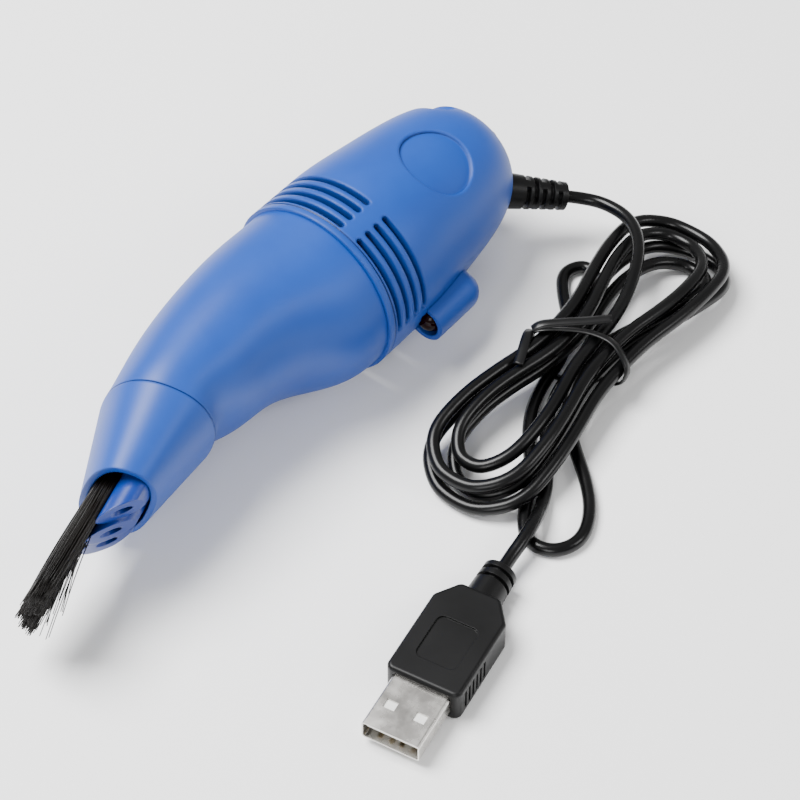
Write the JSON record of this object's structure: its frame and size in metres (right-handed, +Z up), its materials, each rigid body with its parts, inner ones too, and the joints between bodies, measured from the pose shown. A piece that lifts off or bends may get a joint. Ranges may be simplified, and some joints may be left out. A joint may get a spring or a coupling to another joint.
{
  "type": "keyboard vacuum cleaner",
  "caption": "Small blue hand-held keyboard vacuum cleaner with a brush nozzle, vented motor housing, side lamp and a black USB cord tied in a hank.",
  "frame": {"origin": "on the surface that the cleaner lies on, under the middle of its body without the cord", "axes": "+X along the body from the nozzle to the tail, +Y to the side away from the cord, +Z up"},
  "size_m": [0.1723, 0.0999, 0.04],
  "materials": {
    "blue_plastic": "satin moulded blue",
    "black_plastic": "satin moulded black",
    "black_rubber": "soft black with a grey sheen",
    "bristle": "stiff black-brown strands",
    "lens": "dark red clear",
    "nickel_steel": "satin nickel plate",
    "steel": "plain",
    "brass": "plain",
    "magnet": "dull grey",
    "white_plastic": "matt",
    "felt": "soft felt",
    "board": "green lacquer",
    "lead_insulation": "soft red and black"
  },
  "bodies": {
    "rear_body": {"rear_housing": "blue_plastic", "lamp_pod": "blue_plastic", "lamp": "lens", "coupling_ring": "black_plastic", "filter_frame": "white_plastic", "filter_cloth": "felt", "inlet_plate": "black_plastic", "motor_plate": "black_plastic", "motor_can": "steel", "motor_magnets": "magnet", "motor_cap": "white_plastic", "motor_terminals": "brass", "motor_screws": "steel", "switch_plate": "black_plastic", "switch_body": "black_plastic", "circuit_board": "board", "motor_leads": "lead_insulation", "lamp_leads": "lead_insulation", "supply_leads": "lead_insulation", "strain_relief": "black_rubber", "cord_lead": "black_rubber", "cord_hank": "black_rubber", "cord_tail": "black_rubber", "twist_tie": "black_plastic", "plug_grip": "black_rubber", "plug_shell": "nickel_steel", "plug_tongue": "white_plastic", "plug_contacts": "brass"},
    "switch_knob": {"switch_knob": "black_plastic"},
    "fan": {"impeller": "white_plastic", "motor_shaft": "steel", "motor_rotor": "steel"},
    "dust_cup": {"front_housing": "blue_plastic"},
    "nozzle": {"nozzle_shell": "blue_plastic", "suction_tubes": "blue_plastic", "brush_block": "blue_plastic", "bristles": "bristle"}
  },
  "joints": [
    {"name": "switch_slide", "type": "slide", "parent": "rear_body", "child": "switch_knob", "axis": [0, 0.3746, -0.9272], "range_m": [0, 0.002]},
    {"name": "fan_spin", "type": "hinge", "parent": "rear_body", "child": "fan", "pos_m": [0.03624, 0.00175, 0.02], "axis": [1, 0, 0], "continuous": true},
    {"name": "dust_cup_pull", "type": "slide", "parent": "rear_body", "child": "dust_cup", "axis": [-1, 0, 0], "range_m": [0, 0.025]},
    {"name": "nozzle_pull", "type": "slide", "parent": "dust_cup", "child": "nozzle", "axis": [-0.9744, -0.2086, -0.0843], "range_m": [0, 0.012]}
  ]
}
